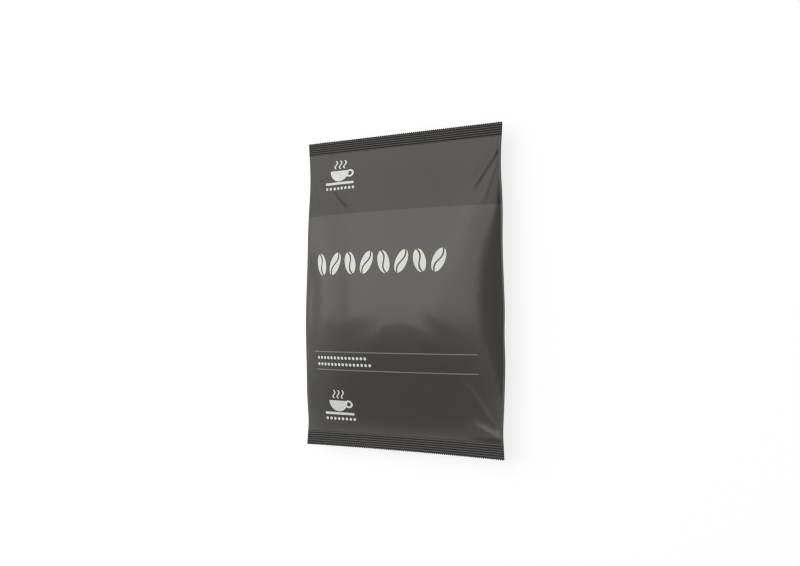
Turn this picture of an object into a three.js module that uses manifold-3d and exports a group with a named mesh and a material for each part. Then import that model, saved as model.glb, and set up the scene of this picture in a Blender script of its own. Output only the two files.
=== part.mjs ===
// A shut coffee bag of the pillow kind: one film tube, filled with ground coffee, closed by a ribbed
// seal with a zigzag cut edge at each end. It lies on its back, with its front up. Millimetres, +Z up,
// +Y towards the bag's top, +X to its right as the front is read. Origin at the middle of its footprint.

import * as THREE from "three";
import { mergeVertices } from "three/addons/utils/BufferGeometryUtils.js";
import Module from "manifold-3d";

// Bag
const flatWidth = 140.3;
const length = 200.6;
const filmHalf = 0.25;

// Seals
const topSeal = 8.7;
const bottomSeal = 9.8;
const topRibs = 6;
const bottomRibs = 7;
const ribPitch = 1.4;
const ribHeight = 0.17;
const topTeeth = 100;
const bottomTeeth = 104;
const toothDepth = 0.8;

// Filling: how fast the front film climbs from each seal, and how it rounds over between them
const climbFromBottom = 0.3;
const climbFromTop = 0.2125;
const bottomEase = 3.5;
const topEase = 2;
const crownSharpness = 2.64;
const sidePower = 3;
const leftRoundness = 1.1; // the left side slopes gently to its edge, the right side drops more steeply
const rightRoundness = 0.7;
const backShare = 0.93;
const restDepth = 13;

// Back seam: a fin folded flat against the back film
const seamWidth = 12;
const seamCentre = 5;
const seamProud = 0.45;

// Side edges: places along the bag where an edge draws in or swells out
const leftEdge = [
  { at: 75, by: -1.75, spread: 22 },
  { at: -18, by: 1.35, spread: 34 },
  { at: -85, by: -1.2, spread: 12 },
];
const rightEdge = [
  { at: 76, by: -1.65, spread: 23 },
  { at: 28, by: -0.8, spread: 20 },
  { at: -12, by: 0.35, spread: 12 },
  { at: -44, by: 0.5, spread: 12 },
  { at: -85, by: -1.0, spread: 15 },
];

// Creases that run in from the corners, and ridges round the fullest part: both ends, height (below
// zero sinks) and half width
const frontCreases = [
  { from: [-67, 80], to: [-59, 52], by: -0.35, spread: 2.2 },
  { from: [-57, 77], to: [-32, 52.5], by: -0.5, spread: 3 },
  { from: [70, 89], to: [49, 57], by: 0.6, spread: 3 },
  { from: [68, 83], to: [57, 48], by: 0.3, spread: 2.2 },
  { from: [45, -51], to: [66, -84], by: 0.3, spread: 3 },
  { from: [49, -81], to: [80, -94], by: 0.7, spread: 4 },
  { from: [10, -14], to: [-27, -42], by: 0.4, spread: 6 },
  { from: [7, -14], to: [37, -39], by: 0.45, spread: 6 },
  { from: [-17, -6], to: [-45, -34], by: 0.35, spread: 6 },
  { from: [17, 2], to: [48, -34], by: 0.3, spread: 7 },
];
const backCreases = [
  { from: [-66, 86], to: [-42, 56], by: -0.6, spread: 3 },
  { from: [66, 84], to: [44, 58], by: -0.6, spread: 3 },
  { from: [-66, -84], to: [-46, -60], by: -0.5, spread: 3 },
  { from: [66, -86], to: [46, -58], by: -0.5, spread: 3 },
  { from: [-10, 44], to: [-48, 20], by: 0.6, spread: 6 },
  { from: [20, 46], to: [50, 16], by: 0.6, spread: 6 },
  { from: [-46, -20], to: [-14, -52], by: 0.5, spread: 6 },
];

// Mesh
const columns = 34;
const rows = 40;

const bodyTop = length / 2 - topSeal;
const bodyBottom = bottomSeal - length / 2;
const bodyLength = bodyTop - bodyBottom;

/** The half width of one side at a place along the bag. */
function halfWidth(y, edge) {
  const change = edge.map((bump) => bump.by * Math.exp(-(((y - bump.at) / bump.spread) ** 2)));
  return change.reduce((sum, part) => sum + part, flatWidth / 2);
}

/** Where a point at a share of the width, from -1 on the left edge to 1 on the right, lies. */
function across(share, y) {
  return share * halfWidth(y, share < 0 ? leftEdge : rightEdge);
}

/** A straight climb that leaves the seal softly. */
function climb(distance, slope, ease) {
  return Math.hypot(distance * slope, ease) - ease;
}

/** How high the middle line of the film stands over the seals. */
function crown(y) {
  const fromBottom = climb(y - bodyBottom, climbFromBottom, bottomEase);
  const fromTop = climb(bodyTop - y, climbFromTop, topEase);
  if (Math.min(fromBottom, fromTop) < 1e-6) {
    return 0;
  }
  const sum = fromBottom ** -crownSharpness + fromTop ** -crownSharpness;
  return sum ** (-1 / crownSharpness);
}

/** The height of the filling's surface over the seals, before folds. */
function swell(share, y) {
  const roundness = share < 0 ? leftRoundness : rightRoundness;
  return crown(y) * (1 - Math.abs(share) ** sidePower) ** roundness;
}

/** One crease or ridge: strongest in the middle of its run, gone at both ends. */
function crease(x, y, { from, to, by, spread }) {
  const start = new THREE.Vector2(...from);
  const run = new THREE.Vector2(...to).sub(start);
  const point = new THREE.Vector2(x, y).sub(start);
  const along = THREE.MathUtils.clamp(point.dot(run) / run.lengthSq(), 0, 1);
  const away = point.distanceTo(run.clone().multiplyScalar(along));
  return by * Math.sin(Math.PI * along ** 0.6) * Math.exp(-((away / spread) ** 2));
}

/** The front or back film's height over the seals. Folds fade out where the bag is thin. */
function film(share, y, creases) {
  const x = across(share, y);
  const full = swell(share, y);
  const folds = creases.reduce((sum, fold) => sum + crease(x, y, fold), 0);
  return filmHalf + Math.max(0, full + folds * Math.min(1, full / 3));
}

const sealPlane = restDepth;

function frontHeight(share, y) {
  return sealPlane + film(share, y, frontCreases);
}

/** The back sags onto what the bag lies on, where it goes flat. */
function backHeight(share, y) {
  const depth = filmHalf + (film(share, y, backCreases) - filmHalf) * backShare;
  return sealPlane - Math.min(restDepth, depth);
}

/** Spreads even steps from -1 to 1 so that they crowd towards both ends. */
function crowd(step, amount) {
  return (1 - amount) * step + amount * Math.sin((Math.PI / 2) * step);
}

/** The filled length of the bag between its seals. */
function filledBody() {
  const box = new THREE.BoxGeometry(2, 2, 2, columns, rows, 1);
  const position = box.attributes.position;
  for (let i = 0; i < position.count; i += 1) {
    const share = crowd(position.getX(i), 0.5);
    const y = (bodyTop + bodyBottom) / 2 + (crowd(position.getY(i), 0.4) * bodyLength) / 2;
    const z = position.getZ(i) > 0 ? frontHeight(share, y) : backHeight(share, y);
    position.setXYZ(i, across(share, y), y, z);
  }
  return box;
}

/** The folded fin down the back, sunk into the body by as much as it stands proud. */
function backSeam() {
  const box = new THREE.BoxGeometry(2, 2, 2, 3, rows, 1);
  const position = box.attributes.position;
  for (let i = 0; i < position.count; i += 1) {
    const x = seamCentre + (position.getX(i) * seamWidth) / 2;
    const y = (bodyTop + bodyBottom) / 2 + (position.getY(i) * (bodyLength + 1)) / 2;
    const back = backHeight(x / halfWidth(y, rightEdge), THREE.MathUtils.clamp(y, bodyBottom, bodyTop));
    const z = position.getZ(i) > 0 ? back + filmHalf : Math.max(0, back - seamProud);
    position.setXYZ(i, x, y, z);
  }
  return box;
}

/** One seal, with ribs that run across the bag. direction is 1 at the top. */
function seal(inner, ribs, direction) {
  const outer = (direction * length) / 2;
  const middle = [[inner, 0]];
  for (let i = 0; i < 2 * ribs; i += 1) {
    const lift = i % 2 ? -ribHeight : ribHeight;
    middle.push([inner + direction * ribPitch * (0.25 + i / 2), direction * lift]);
  }
  middle.push([outer, 0]);
  const front = middle.map(([y, lift]) => new THREE.Vector2(y, sealPlane + lift + filmHalf));
  const back = middle.map(([y, lift]) => new THREE.Vector2(y, sealPlane + lift - filmHalf));
  const strip = new THREE.ExtrudeGeometry(new THREE.Shape([...front, ...back.reverse()]), {
    depth: 2,
    bevelEnabled: false,
  });
  const position = strip.attributes.position;
  for (let i = 0; i < position.count; i += 1) {
    const y = position.getX(i);
    position.setXYZ(i, across(position.getZ(i) - 1, y), y, position.getY(i));
  }
  return strip;
}

/** What the zigzag knife takes away past one end of the bag. */
function zigzagWaste(direction) {
  const teeth = direction > 0 ? topTeeth : bottomTeeth;
  const pitch = flatWidth / teeth;
  const tip = (direction * length) / 2;
  const outline = [];
  for (let i = -1; i <= teeth + 1; i += 1) {
    outline.push(new THREE.Vector2(-flatWidth / 2 + i * pitch, tip - direction * toothDepth));
    outline.push(new THREE.Vector2(-flatWidth / 2 + (i + 0.5) * pitch, tip));
  }
  outline.push(new THREE.Vector2(flatWidth, tip + direction));
  outline.push(new THREE.Vector2(-flatWidth, tip + direction));
  const waste = new THREE.ExtrudeGeometry(new THREE.Shape(outline), { depth: 4, bevelEnabled: false });
  return waste.translate(0, 0, sealPlane - 2);
}

const wasm = await Module();
wasm.setup();

function solid(geometry) {
  const bare = geometry.clone();
  bare.deleteAttribute("normal");
  bare.deleteAttribute("uv");
  const merged = mergeVertices(bare, 1e-4);
  return new wasm.Manifold(
    new wasm.Mesh({
      numProp: 3,
      vertProperties: new Float32Array(merged.attributes.position.array),
      triVerts: new Uint32Array(merged.index.array),
    }),
  );
}

function geometryOf(manifold) {
  const mesh = manifold.getMesh();
  const geometry = new THREE.BufferGeometry();
  geometry.setAttribute("position", new THREE.BufferAttribute(mesh.vertProperties, 3));
  geometry.setIndex(new THREE.BufferAttribute(mesh.triVerts, 1));
  geometry.computeVertexNormals();
  return geometry;
}

const bag = solid(filledBody())
  .add(solid(backSeam()))
  .add(solid(seal(bodyTop, topRibs, 1)))
  .add(solid(seal(bodyBottom, bottomRibs, -1)))
  .subtract(solid(zigzagWaste(1)))
  .subtract(solid(zigzagWaste(-1)));

const greyFilm = new THREE.MeshStandardMaterial({ color: 0x5e5c57, roughness: 0.42, metalness: 0.1 });

const bagGeometry = geometryOf(bag);
bagGeometry.computeBoundingBox();
bagGeometry.translate(-bagGeometry.boundingBox.getCenter(new THREE.Vector3()).x, 0, 0);

const coffeeBag = new THREE.Mesh(bagGeometry, greyFilm);
coffeeBag.name = "coffee_bag";

const group = new THREE.Group();
group.add(coffeeBag);

export default group;
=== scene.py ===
import math

import bpy
import numpy as np
from mathutils import Matrix, Vector


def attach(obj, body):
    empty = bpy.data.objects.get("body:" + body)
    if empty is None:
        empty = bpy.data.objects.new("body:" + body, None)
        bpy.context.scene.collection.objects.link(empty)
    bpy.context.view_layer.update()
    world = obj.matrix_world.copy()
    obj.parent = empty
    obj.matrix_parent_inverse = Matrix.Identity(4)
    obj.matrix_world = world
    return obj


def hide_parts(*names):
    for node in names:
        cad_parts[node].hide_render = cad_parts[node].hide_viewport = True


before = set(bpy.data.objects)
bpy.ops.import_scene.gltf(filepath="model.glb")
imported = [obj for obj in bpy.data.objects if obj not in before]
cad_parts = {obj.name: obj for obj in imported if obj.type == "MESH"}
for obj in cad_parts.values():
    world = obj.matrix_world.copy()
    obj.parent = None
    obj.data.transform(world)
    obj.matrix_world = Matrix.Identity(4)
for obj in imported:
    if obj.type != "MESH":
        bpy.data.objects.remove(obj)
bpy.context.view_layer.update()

# A shut pillow bag of ground coffee, lying on its back. +Y runs to the bag's top, +X to its right.
# Sizes of the bag are in millimetres until a mesh is written, and the frame is in metres.
MM = 0.001

BAG = "coffee_bag"
FLAT_WIDTH = 140.3
LENGTH = 200.6
TOP_SEAL = 8.7
BOTTOM_SEAL = 9.8
SEAL_PLANE = 13.0
BODY_TOP = LENGTH / 2 - TOP_SEAL
BODY_BOTTOM = BOTTOM_SEAL - LENGTH / 2
BODY_MIDDLE = (BODY_TOP + BODY_BOTTOM) / 2
BODY_LENGTH = BODY_TOP - BODY_BOTTOM

# The filling, as the solid has it
CLIMB_FROM_BOTTOM = 0.3
CLIMB_FROM_TOP = 0.2125
BOTTOM_EASE = 3.5
TOP_EASE = 2.0
CROWN_SHARPNESS = 2.64
SIDE_POWER = 3.0
LEFT_ROUNDNESS = 1.1
RIGHT_ROUNDNESS = 0.7
BACK_SHARE = 0.93

# Side edges: place along the bag, how far the edge moves out, and over what length
LEFT_EDGE = ((75, -1.75, 22), (-18, 1.35, 34), (-85, -1.2, 12))
RIGHT_EDGE = ((76, -1.65, 23), (28, -0.8, 20), (-12, 0.35, 12), (-44, 0.5, 12), (-85, -1.0, 15))

# Film: half its thickness, the share of the width inside the pinched sides, how far in from the rim the
# folds are at full height, and how far the middle of the bottom end is drawn up, over what length
FILM_HALF = 0.2
EDGE_LIP = 0.982
FOLD_ROOM = 3.0
BOTTOM_BOW = 0.6
BOW_REACH = 20.0

# Seals: the ribs' height is from their middle, and each cut tooth eases out over TOOTH_EASE
SEAL_HALF = 0.25
SEAL_OVERLAP = 0.4
RIB_PITCH = 1.4
TOP_RIB_HEIGHT = 0.12
BOTTOM_RIB_HEIGHT = 0.085
RIB_START = 0.2
TOP_TEETH = 100
BOTTOM_TEETH = 104
TOOTH_DEPTH = 0.8
TOOTH_EASE = 1.2

# Creases of a film: start, end, height (below zero sinks), spread on the upper and on the lower side.
# Each fades in and out over these shares of its run.
CREASE_FADES = (0.35, 0.3)
RIDGE_FADES = (0.45, 0.45)
FRONT_CREASES = (
    ((-67.5, 79), (-59, 48), -0.7, 1.6, 0.9),
    ((-64.5, 79), (-47, 52), -0.45, 3.0, 1.8),
    ((-58, 78), (-32, 52), -0.7, 3.0, 1.9),
    ((70, 89.2), (49.2, 57.2), 0.85, 4.0, 1.5),
    ((67.6, 97), (64.4, 78), 0.22, 2.5, 1.1),
    ((68.2, 83), (56.7, 48), 0.32, 3.0, 1.1),
    ((45, -51), (66, -84), 0.4, 1.5, 3.0),
)
# Softer ridges, in the same terms: round the fullest part, and one in the lower right corner
FRONT_RIDGES = (
    ((10, -14), (-27, -42), 0.4, 5.0, 7.0),
    ((7, -14), (37, -39), 0.45, 5.5, 7.0),
    ((-17, -6), (-45, -34), 0.35, 6.0, 6.0),
    ((17, 2), (48, -34), 0.3, 9.0, 5.0),
    ((45, -77.9), (80, -93.4), 0.7, 2.5, 9.0),
)
BACK_CREASES = (
    ((-66, 86), (-42, 56), -0.6, 1.6, 4.0),
    ((-60, 89), (-50, 62), -0.3, 1.2, 3.0),
    ((66, 84), (44, 58), -0.6, 1.6, 4.0),
    ((-66, -84), (-46, -60), -0.5, 2.6, 2.6),
    ((66, -86), (46, -58), -0.5, 2.6, 2.6),
    ((56, -88), (40, -70), -0.3, 2.0, 2.0),
)
BACK_RIDGES = (
    ((-10, 44), (-48, 20), 0.6, 6.0, 6.0),
    ((20, 46), (50, 16), 0.6, 6.0, 6.0),
    ((-46, -20), (-14, -52), 0.5, 6.0, 6.0),
)

# Soft lumps where the coffee presses on the film: place, height, spread across and along
FRONT_LUMPS = (
    ((-50, 20), 0.3, 10, 24),
    ((52, 28), 0.3, 9, 20),
)
BACK_LUMPS = (
    ((-40, 30), 0.5, 14, 20),
    ((36, -46), 0.5, 16, 14),
    ((-38, -50), 0.4, 12, 16),
)

# Back seam, and how the back film goes flat: its gap to the floor and how softly it meets the flat
SEAM_WIDTH = 12.0
SEAM_CENTRE = 5.0
SEAM_PROUD = 0.45
SEAM_RIB = 0.05
REST_GAP = 0.15
REST_BLEND = 0.4

# Cells of each shell, across and along. A seal has TOOTH_CELLS to each tooth and SEAL_CELLS along.
TUBE_CELLS = (212, 226)
SEAM_CELLS = (64, 320)
TOOTH_CELLS = 4
SEAL_CELLS = 60
SMOOTH_ANGLE = math.radians(50)


def smooth(t):
    """0 below 0, 1 above 1 and a soft rise between."""
    t = np.clip(t, 0.0, 1.0)
    return t * t * (3 - 2 * t)


def half_width(y, edge):
    """How far one side edge lies from the middle line."""
    return FLAT_WIDTH / 2 + sum(by * np.exp(-(((y - at) / spread) ** 2)) for at, by, spread in edge)


def edge_reach(edge):
    return float(np.max(half_width(np.linspace(-LENGTH / 2, LENGTH / 2, 2001), edge)))


# The solid is centred between its widest places
CENTRING = (edge_reach(LEFT_EDGE) - edge_reach(RIGHT_EDGE)) / 2


def across(share, y):
    """The place of a point at a share of the width, from -1 on the left edge to 1 on the right."""
    return share * np.where(share < 0, half_width(y, LEFT_EDGE), half_width(y, RIGHT_EDGE))


def climb(distance, slope, ease):
    """A straight climb that leaves the seal softly."""
    return np.hypot(np.maximum(distance, 0) * slope, ease) - ease


def crown(y):
    """How high the middle line of the film stands over the seals."""
    from_bottom = np.maximum(climb(y - BODY_BOTTOM, CLIMB_FROM_BOTTOM, BOTTOM_EASE), 1e-6)
    from_top = np.maximum(climb(BODY_TOP - y, CLIMB_FROM_TOP, TOP_EASE), 1e-6)
    total = from_bottom**-CROWN_SHARPNESS + from_top**-CROWN_SHARPNESS
    return total ** (-1 / CROWN_SHARPNESS)


def swell(share, y):
    """The filling's surface over the seals. The outermost strip is the pinched side fold."""
    inner = np.clip(np.abs(share) / EDGE_LIP, 0, 1)
    roundness = np.where(share < 0, LEFT_ROUNDNESS, RIGHT_ROUNDNESS)
    return crown(y) * (1 - inner**SIDE_POWER) ** roundness


def crease(x, y, start, end, by, upper, lower, fades):
    """One crease along a straight run, with both ends faded and a flank of its own on either side."""
    start, run = np.array(start, float), np.array(end, float) - np.array(start, float)
    from_x, from_y = x - start[0], y - start[1]
    held = np.clip((from_x * run[0] + from_y * run[1]) / (run @ run), 0, 1)
    away = np.hypot(from_x - held * run[0], from_y - held * run[1])
    above = (run[0] * from_y - run[1] * from_x) * np.sign(run[0]) > 0
    fade = smooth(held / fades[0]) * smooth((1 - held) / fades[1])
    return by * fade * np.exp(-((away / np.where(above, upper, lower)) ** 2))


def lump(x, y, at, by, wide, long):
    return by * np.exp(-(((x - at[0]) / wide) ** 2) - (((y - at[1]) / long) ** 2))


def relief(x, y, creases, ridges, lumps):
    """Folds and lumps of one film, over its plain swell."""
    folds = sum(crease(x, y, *fold, CREASE_FADES) for fold in creases)
    folds = folds + sum(crease(x, y, *ridge, RIDGE_FADES) for ridge in ridges)
    return folds + sum(lump(x, y, *bump) for bump in lumps)


def film_height(share, y, *shapes):
    """A film's height over the seals. Its relief fades out towards the rim."""
    to_side = (1 - np.abs(share)) * FLAT_WIDTH / 2
    room = np.minimum(to_side, np.minimum(y - BODY_BOTTOM, BODY_TOP - y))
    folds = relief(across(share, y), y, *shapes) * smooth(room / FOLD_ROOM)
    return FILM_HALF + np.maximum(0, swell(share, y) + folds)


def front_height(share, y):
    return SEAL_PLANE + film_height(share, y, FRONT_CREASES, FRONT_RIDGES, FRONT_LUMPS)


def back_height(share, y):
    """The back sags and goes flat just over the floor, on which only its seam lies."""
    film = film_height(share, y, BACK_CREASES, BACK_RIDGES, BACK_LUMPS)
    depth = FILM_HALF + (film - FILM_HALF) * BACK_SHARE
    deepest = SEAL_PLANE - REST_GAP
    return SEAL_PLANE - (depth + deepest - np.hypot(depth - deepest, REST_BLEND)) / 2


def bow(x, y):
    """The bottom end is drawn up a little in its middle."""
    near = smooth((BODY_BOTTOM + BOW_REACH - y) / BOW_REACH)
    return BOTTOM_BOW * near * (1 - np.clip(x / (FLAT_WIDTH / 2), -1, 1) ** 2)


def crowd(step, amount):
    """Spreads even steps from -1 to 1 so that they crowd towards both ends."""
    return (1 - amount) * step + amount * np.sin(math.pi / 2 * step)


def deselect():
    if bpy.context.mode != "OBJECT":
        bpy.ops.object.mode_set(mode="OBJECT")
    bpy.ops.object.select_all(action="DESELECT")


def film_shell(name, columns, rows):
    """Two sheets joined round their rims: a grid from -1 to 1 each way, given a thickness."""
    deselect()
    bpy.ops.mesh.primitive_grid_add(x_subdivisions=columns, y_subdivisions=rows, size=2)
    shell = bpy.context.object
    shell.name = name
    thick = shell.modifiers.new("two sheets", "SOLIDIFY")
    thick.thickness = 1
    thick.offset = 0
    bpy.ops.object.modifier_apply(modifier=thick.name)
    return shell


def places(shell):
    """A shell's points as columns of x, y and z."""
    points = np.empty(len(shell.data.vertices) * 3)
    shell.data.vertices.foreach_get("co", points)
    return points.reshape(-1, 3).T


def move_points(shell, x, y, z):
    """Writes new places, from millimetres, and shades the shell by its angles."""
    points = np.stack([x + CENTRING, y, z], axis=1) * MM
    shell.data.vertices.foreach_set("co", points.ravel())
    shell.data.update()
    deselect()
    shell.select_set(True)
    bpy.context.view_layer.objects.active = shell
    bpy.ops.object.shade_smooth_by_angle(angle=SMOOTH_ANGLE)


def film_tube():
    """The filled film between the seals, whose ends run a little way into them."""
    shell = film_shell("film_tube", *TUBE_CELLS)
    share, step, side = places(shell)
    share = crowd(share, 0.3)
    reach = (BODY_LENGTH / 2 + SEAL_OVERLAP) / (BODY_LENGTH / 2)
    y = BODY_MIDDLE + crowd(step, 0.2) * reach * BODY_LENGTH / 2
    x = across(share, y)
    z = np.where(side > 0, front_height(share, y), back_height(share, y))
    move_points(shell, x, y + bow(x, y), z)
    return shell


def back_seam():
    """The fin seam, folded flat down the back, with fine ribs along it."""
    shell = film_shell("back_seam", *SEAM_CELLS)
    offset, step, side = places(shell)
    y = BODY_MIDDLE + step * (BODY_LENGTH / 2 + SEAL_OVERLAP)
    x = SEAM_CENTRE + offset * SEAM_WIDTH / 2
    back = back_height(x / half_width(y, RIGHT_EDGE), np.clip(y, BODY_BOTTOM, BODY_TOP))
    rib = SEAM_RIB * np.sin(math.pi * SEAM_WIDTH * offset / RIB_PITCH)
    rounded = (SEAM_PROUD + rib) * (1 - np.abs(offset) ** 10)
    outer = np.maximum(0, back - rounded)
    move_points(shell, x, y + bow(x, y), np.where(side > 0, back + FILM_HALF, outer))
    return shell


def seal(name, inner, direction):
    """One ribbed seal. direction is 1 at the top of the bag and -1 at the bottom."""
    top = (TOP_SEAL, TOP_TEETH, TOP_RIB_HEIGHT)
    bottom = (BOTTOM_SEAL, BOTTOM_TEETH, BOTTOM_RIB_HEIGHT)
    size, teeth, rib_height = top if direction > 0 else bottom
    shell = film_shell(name, TOOTH_CELLS * teeth, SEAL_CELLS)
    share, step, side = places(shell)
    out = (step * direction + 1) / 2 * size
    lift = direction * rib_height * np.sin(2 * math.pi * out / RIB_PITCH) * smooth(out / RIB_START)
    y = inner + direction * out
    x = across(share, y)
    tooth = np.abs((x / (FLAT_WIDTH / teeth) + 0.5) % 1 * 2 - 1)
    cut = TOOTH_DEPTH * tooth * smooth((out - size) / TOOTH_EASE + 1)
    z = SEAL_PLANE + lift + np.where(side > 0, SEAL_HALF, -SEAL_HALF)
    y = y - direction * cut
    move_points(shell, x, y + bow(x, y), z)
    return shell


class Shade:
    """A socket of a material's nodes. Sums, products and the like of sockets add Math nodes."""

    def __init__(self, tree, socket=None):
        self.tree = tree
        self.socket = socket

    def node(self, kind, settings=None, values=None, output=0):
        """Adds a node: its settings first, then its sockets' values or links."""
        made = self.tree.nodes.new(kind)
        for name, value in (settings or {}).items():
            setattr(made, name, value)
        for name, value in (values or {}).items():
            if isinstance(value, Shade):
                self.tree.links.new(value.socket, made.inputs[name])
            else:
                made.inputs[name].default_value = value
        return Shade(self.tree, made.outputs[output] if made.outputs else None)

    def math(self, operation, *numbers):
        values = dict(enumerate((self, *numbers)))
        return self.node("ShaderNodeMath", {"operation": operation}, values)

    def __add__(self, other):
        return self.math("ADD", other)

    __radd__ = __add__

    def __sub__(self, other):
        return self.math("SUBTRACT", other)

    def __rsub__(self, other):
        return self.node("ShaderNodeMath", {"operation": "SUBTRACT"}, {0: other, 1: self})

    def __mul__(self, other):
        return self.math("MULTIPLY", other)

    __rmul__ = __mul__

    def __truediv__(self, other):
        return self.math("DIVIDE", other)

    def __pow__(self, other):
        return self.math("POWER", other)

    def __abs__(self):
        return self.math("ABSOLUTE")

    def sine(self):
        return self.math("SINE")

    def least(self, other):
        return self.math("MINIMUM", other)

    def most(self, other):
        return self.math("MAXIMUM", other)

    def ramp(self, low, high, to_low=0.0, to_high=1.0):
        """A soft step from to_low to to_high."""
        values = {"Value": self, "From Min": low, "From Max": high, "To Min": to_low, "To Max": to_high}
        return self.node("ShaderNodeMapRange", {"interpolation_type": "SMOOTHSTEP"}, values)

    def mix(self, first, second):
        """Colours first and second, mixed by this value."""
        return self.node(
            "ShaderNodeMix",
            {"data_type": "RGBA"},
            {"Factor": self, 6: first, 7: second},
            output=2,
        )


# Print: all of it plain shapes, in millimetres on the film. Rows run from left to right at a height.
INK_EDGE = 0.12
INK = (0.74, 0.74, 0.71, 1)
RULE_GREY = (0.2, 0.19, 0.175, 1)
BAND_EDGE = 50.7
BAND_BLUR = 0.15
RULES = ((-61.4, 56.0, -38.4), (-60.7, 56.0, -50.0))
RULE_HALF = 0.36
BEAN_ROW = (-60.7, 39.5, 18.2)
BEANS = 8
BEAN_HALF = (4.3, 8.0)
BEAN_LEAN = 0.36
SLIT_HALF = 0.6
SLIT_BEND = 0.3
DOT_PITCH = 3.0
DOT_ROWS = ((-59.5, -17.5, -42.3), (-59.5, -14.5, -46.5))
DOT_RADIUS = 1.0
EMBLEMS = ((-43.5, 78.5), (-43.0, -71.5))
EMBLEM_DOTS = (-12.0, 12.0, -10.3)
EMBLEM_DOT_RADIUS = 0.95


def inside(distance):
    """1 inside a shape and 0 outside, from a distance that is below 0 inside."""
    return distance.ramp(INK_EDGE, -INK_EDGE)


def joined(shapes):
    """One shape from several."""
    whole = shapes[0]
    for shape in shapes[1:]:
        whole = whole.most(shape)
    return whole


def stretch(x, left, right):
    """Signed distance across to the span from left to right."""
    return abs(x - (left + right) / 2) - (right - left) / 2


def rule(x, y, left, right, height):
    """A thin line across the film."""
    return inside(stretch(x, left, right).most(abs(y - height) - RULE_HALF))


def ellipse(x, y, centre, half):
    """Signed distance, near enough, to an ellipse."""
    reach = (((x - centre[0]) / half[0]) ** 2 + ((y - centre[1]) / half[1]) ** 2) ** 0.5
    return (reach - 1) * min(half)


def bean(x, y):
    """A coffee bean about 0, 0 with a curved slit left open down its length."""
    wide, long = BEAN_HALF
    outline = ellipse(x, y, (0, 0), BEAN_HALF)
    slit = SLIT_HALF - abs(x - (y * (math.pi / long)).sine() * (SLIT_BEND * wide))
    return inside(outline.most(slit))


def bean_row(x, y):
    """A row of beans that lean to one side and the other in turn."""
    left, right, height = BEAN_ROW
    pitch = (right - left) / BEANS
    steps = (x - left) / pitch
    number = steps.math("FLOOR")
    lean = number.math("MODULO", 2) * 2 - 1
    across_bean = (steps - number - 0.5) * pitch
    up_bean = y - height
    turned_x = across_bean - lean * up_bean * BEAN_LEAN
    turned_y = up_bean + lean * across_bean * BEAN_LEAN
    return bean(turned_x, turned_y).least(inside(stretch(x, left, right)))


def cup_emblem(x, y):
    """A cup on a saucer, with three wisps of steam over it, about 0, 0."""
    bowl = ellipse(x, y, (-1, 1.5), (7.2, 7.0)).most(y - 1.5)
    handle = abs(ellipse(x, y, (7, -0.6), (3.1, 2.5)) + 0.6) - 0.6
    saucer = (((abs(x + 0.6) - 10.5).most(0) ** 2 + (y + 6.9) ** 2) ** 0.5) - 0.8
    shapes = bowl.least(handle).least(saucer)
    for place in (-4.0, -0.6, 2.8):
        wisp = abs(x - place - (y * 1.15).sine() * 0.85) - 0.55
        shapes = shapes.least(wisp.most(abs(y - 5.6) - 2.7))
    return inside(shapes)


def dot_row(x, y, left, right, height, radius):
    """A row of round dots."""
    steps = (x - left) / DOT_PITCH
    offset = (steps - steps.math("FLOOR") - 0.5) * DOT_PITCH
    dots = inside((offset**2 + (y - height) ** 2) ** 0.5 - radius)
    return dots.least(inside(stretch(x, left, right)))


def white_print(x, y):
    """Everything printed in white."""
    shapes = [bean_row(x, y)] + [dot_row(x, y, *row, DOT_RADIUS) for row in DOT_ROWS]
    for emblem_x, emblem_y in EMBLEMS:
        from_x, from_y = x - emblem_x, y - emblem_y
        shapes.append(cup_emblem(from_x, from_y))
        shapes.append(dot_row(from_x, from_y, *EMBLEM_DOTS, EMBLEM_DOT_RADIUS))
    return joined(shapes)


def new_material(name):
    material = bpy.data.materials.new(name)
    material.use_nodes = True
    tree = material.node_tree
    tree.nodes.clear()
    return material, Shade(tree)


def surface(start, values):
    """Ends a material in one Principled surface."""
    shader = start.node("ShaderNodeBsdfPrincipled", None, values)
    start.node("ShaderNodeOutputMaterial", None, {"Surface": shader})


def object_place(start):
    """The point's place on the bag, in millimetres."""
    place = start.node("ShaderNodeTexCoord", output="Object")
    split = [start.node("ShaderNodeSeparateXYZ", None, {0: place}, output=axis) for axis in "XYZ"]
    x, y, z = (part / MM for part in split)
    return place, x - CENTRING, y, z


# Film surfaces. The film's own colour is dark, and most of what shows is its gloss.
FILM = (0.043, 0.0415, 0.037, 1)
BAND = (0.0085, 0.008, 0.0065, 1)
SEAL = (0.011, 0.0105, 0.0085, 1)
CLOUD_SHADE = 0.93
CLOUD_SCALE = 28.0
CRINKLE_SCALES = (240.0, 60.0)
FILM_CRINKLE = 0.25
SEAL_CRINKLE = 0.2
FILM_ROUGHNESS = 0.25
BAND_ROUGHNESS = 0.3
GROOVE_ROUGHNESS = 1.0
RIB_ROUGHNESS = 0.12
GLOSS = 0.72
SEAL_GLOSS = 0.83
GLOSS_TINT = (1, 0.965, 0.913, 1)


def noise(start, place, scale, detail):
    return start.node("ShaderNodeTexNoise", None, {"Vector": place, "Scale": scale, "Detail": detail})


def film_base(start, place, colour):
    """Film colour with a faint cloudiness."""
    dark = tuple(CLOUD_SHADE * part for part in colour[:3]) + (1,)
    return noise(start, place, CLOUD_SCALE, 3.0).ramp(0.3, 0.7, 0.0, 0.5).mix(colour, dark)


def crinkle(start, place, strength):
    """The film's fine unevenness, as a bump."""
    fine, broad = CRINKLE_SCALES
    height = noise(start, place, fine, 4.0) * 0.2 + noise(start, place, broad, 2.0) * 2
    values = {"Height": height, "Strength": strength, "Distance": 0.0004}
    return start.node("ShaderNodeBump", None, values)


def film_surface(start, colour, rough, normal, gloss):
    values = {"Base Color": colour, "Roughness": rough, "Normal": normal}
    surface(start, values | {"Specular IOR Level": gloss, "Specular Tint": GLOSS_TINT})


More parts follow.
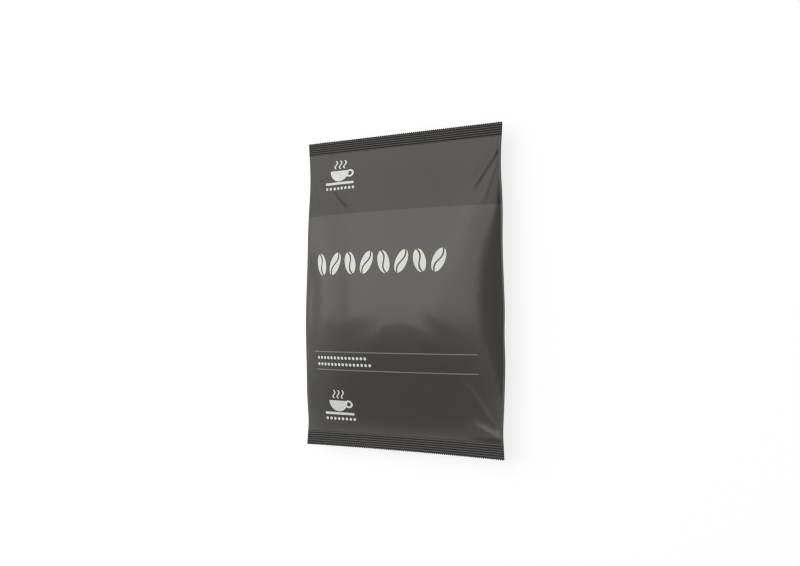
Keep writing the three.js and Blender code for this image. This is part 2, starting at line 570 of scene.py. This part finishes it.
def film_material():
    """Satin printed film: a darker head band, two rules and white shapes on the front."""
    material, start = new_material("grey film")
    place, x, y, z = object_place(start)
    above = y - BAND_EDGE
    plain = film_base(start, place, FILM)
    head = film_base(start, place, BAND)
    colour = above.ramp(-BAND_BLUR, BAND_BLUR).mix(plain, head)
    front = (z - SEAL_PLANE).ramp(0, 0.1)
    rules = joined([rule(x, y, *line) for line in RULES])
    colour = (rules * front).mix(colour, RULE_GREY)
    colour = (white_print(x, y) * front).mix(colour, INK)
    rough = above.ramp(-BAND_BLUR, BAND_BLUR, FILM_ROUGHNESS, BAND_ROUGHNESS)
    film_surface(start, colour, rough, crinkle(start, place, FILM_CRINKLE), GLOSS)
    return material


def seal_material():
    """The same film where the sealing jaws pressed it. The jaws polished the tops of the ribs."""
    material, start = new_material("pressed film")
    place, _, _, z = object_place(start)
    colour = film_base(start, place, SEAL)
    out = abs(z - SEAL_PLANE) - SEAL_HALF
    rough = out.ramp(-TOP_RIB_HEIGHT, TOP_RIB_HEIGHT, GROOVE_ROUGHNESS, RIB_ROUGHNESS)
    film_surface(start, colour, rough, crinkle(start, place, SEAL_CRINKLE), SEAL_GLOSS)
    return material


# Studio, in metres. Each panel of the window: name, direction from the bag, width, height and radiance.
TABLE_SIZE = 8.0
TABLE_GREY = (0.3, 0.3, 0.3, 1)
TABLE_GLOW = 0.77
WHITE = (1, 1, 1, 1)
ROOM_GLOW = 0.36
PANEL_DISTANCE = 1.5
PANELS = (
    ("window", (-0.46, 0.267, 0.847), 1.122, 1.367, 1.52),
    ("window_right", (0.134, 0.267, 0.954), 0.86, 1.367, 1.25),
    ("window_left", (-0.894, 0.207, 0.398), 0.75, 0.93, 1.15),
    ("window_sill", (-0.448, -0.301, 0.842), 3.84, 0.352, 0.3),
)


def floor():
    """A plain pale table top, lit from within like a photographer's light table."""
    deselect()
    bpy.ops.mesh.primitive_plane_add(size=TABLE_SIZE)
    top = bpy.context.object
    top.name = "table_top"
    material, start = new_material("pale table")
    values = {"Base Color": TABLE_GREY, "Roughness": 0.9, "Specular IOR Level": 0.0}
    glow = {"Emission Color": WHITE, "Emission Strength": TABLE_GLOW}
    surface(start, values | glow)
    top.data.materials.append(material)


def facing(back, up):
    """The turn that points an object's -Z away from back, with its +Y towards up."""
    back = Vector(back).normalized()
    right = Vector(up).cross(back).normalized()
    return Matrix((right, back.cross(right), back)).transposed().to_4x4()


def soft_panel(name, towards, wide, high, radiance):
    """A broad soft light that faces the bag from the direction towards."""
    deselect()
    bpy.ops.object.light_add(type="AREA")
    panel = bpy.context.object
    panel.name = name
    place = Vector(towards).normalized() * PANEL_DISTANCE
    panel.matrix_world = Matrix.Translation(place) @ facing(towards, (0, 1, 0))
    panel.data.shape = "RECTANGLE"
    panel.data.size = wide
    panel.data.size_y = high
    panel.data.energy = radiance * math.pi * wide * high


def studio():
    """A pale room and one broad window past the bag's top left, dimmer at its sides and sill."""
    world = bpy.data.worlds.new("white room")
    bpy.context.scene.world = world
    world.use_nodes = True
    world.node_tree.nodes["Background"].inputs["Color"].default_value = WHITE
    world.node_tree.nodes["Background"].inputs["Strength"].default_value = ROOM_GLOW
    for panel in PANELS:
        soft_panel(*panel)
    bpy.context.scene.view_settings.view_transform = "Standard"


# The camera, from the bag's middle on the seal plane, in millimetres, and its filter in pixels
EYE = (259.2, -18.3, 470.9)
LOOK = (-0.4816, 0.0439, -0.8753)
UP = (0.021, 0.999, 0.0386)
LENS = 38.48
SENSOR = 36
FILTER_WIDTH = 1.2


def camera():
    deselect()
    bpy.ops.object.camera_add()
    made = bpy.context.object
    place = Vector((EYE[0] + CENTRING, EYE[1], EYE[2] + SEAL_PLANE)) * MM
    made.matrix_world = Matrix.Translation(place) @ facing(-Vector(LOOK), UP)
    made.data.lens = LENS
    made.data.sensor_width = SENSOR
    bpy.context.scene.camera = made


def fine_edges():
    """Keeps the zigzag teeth, which are hardly a pixel wide, from being smoothed away."""
    cycles = bpy.context.scene.cycles
    cycles.filter_width = FILTER_WIDTH
    cycles.denoising_prefilter = "NONE"


def finish_piece(piece, material):
    piece.data.materials.clear()
    piece.data.materials.append(material)
    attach(piece, "root")
    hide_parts(BAG)


camera()
fine_edges()
studio()
floor()
film = film_material()
pressed = seal_material()
finish_piece(film_tube(), film)
finish_piece(back_seam(), film)
finish_piece(seal("top_seal", BODY_TOP, 1), pressed)
finish_piece(seal("bottom_seal", BODY_BOTTOM, -1), pressed)
